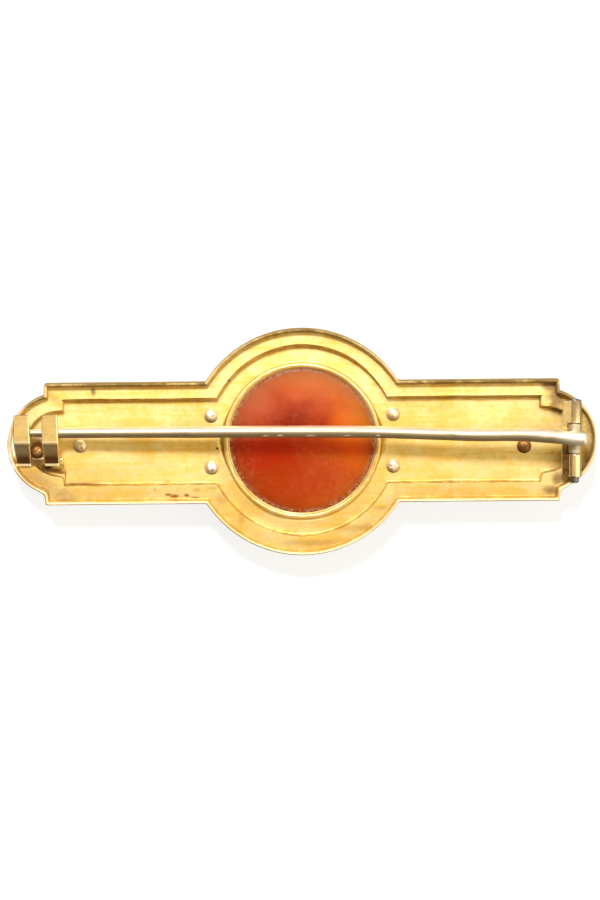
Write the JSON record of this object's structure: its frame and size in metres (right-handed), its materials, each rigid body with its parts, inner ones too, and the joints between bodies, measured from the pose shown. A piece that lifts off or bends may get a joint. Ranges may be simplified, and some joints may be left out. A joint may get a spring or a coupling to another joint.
{
  "type": "cameo brooch",
  "caption": "Gold bar brooch with a round cameo in a collar setting, rounded notched ends, a hinged pin wire and a double hook catch; it lies face down with its back up.",
  "frame": {"origin": "on the resting surface, under the middle of the stone, the brooch lying face down", "axes": "+X along the bar towards the hinge, +Y across the bar, +Z from the front to the back"},
  "size_m": [0.06, 0.0232, 0.0072],
  "materials": {
    "gold": "worn polished yellow gold, fine scratches, darker in its corners",
    "pale_gold": "paler gold of the pin wire and the rivets, polished, with small nicks",
    "dark_rod": "dark tarnished rod end",
    "carnelian": "polished orange-red carnelian, the carved head in a pale upper layer"
  },
  "bodies": {
    "brooch": {"frame": "gold", "bezel": "gold", "catch": "gold", "hinge_base": "gold", "rivet_1": "pale_gold", "rivet_2": "pale_gold", "rivet_3": "pale_gold", "rivet_4": "pale_gold", "rivet_5": "pale_gold", "rivet_6": "pale_gold", "rivet_7": "pale_gold", "cameo": "carnelian", "hinge_rod": "dark_rod"},
    "pin": {"pin": "pale_gold"}
  },
  "joints": [
    {"name": "pin_swing", "type": "hinge", "parent": "brooch", "child": "pin", "pos_m": [0.02765, 0.0003, 0.0054], "axis": [0, 1, 0], "range_deg": [0, 95]}
  ]
}
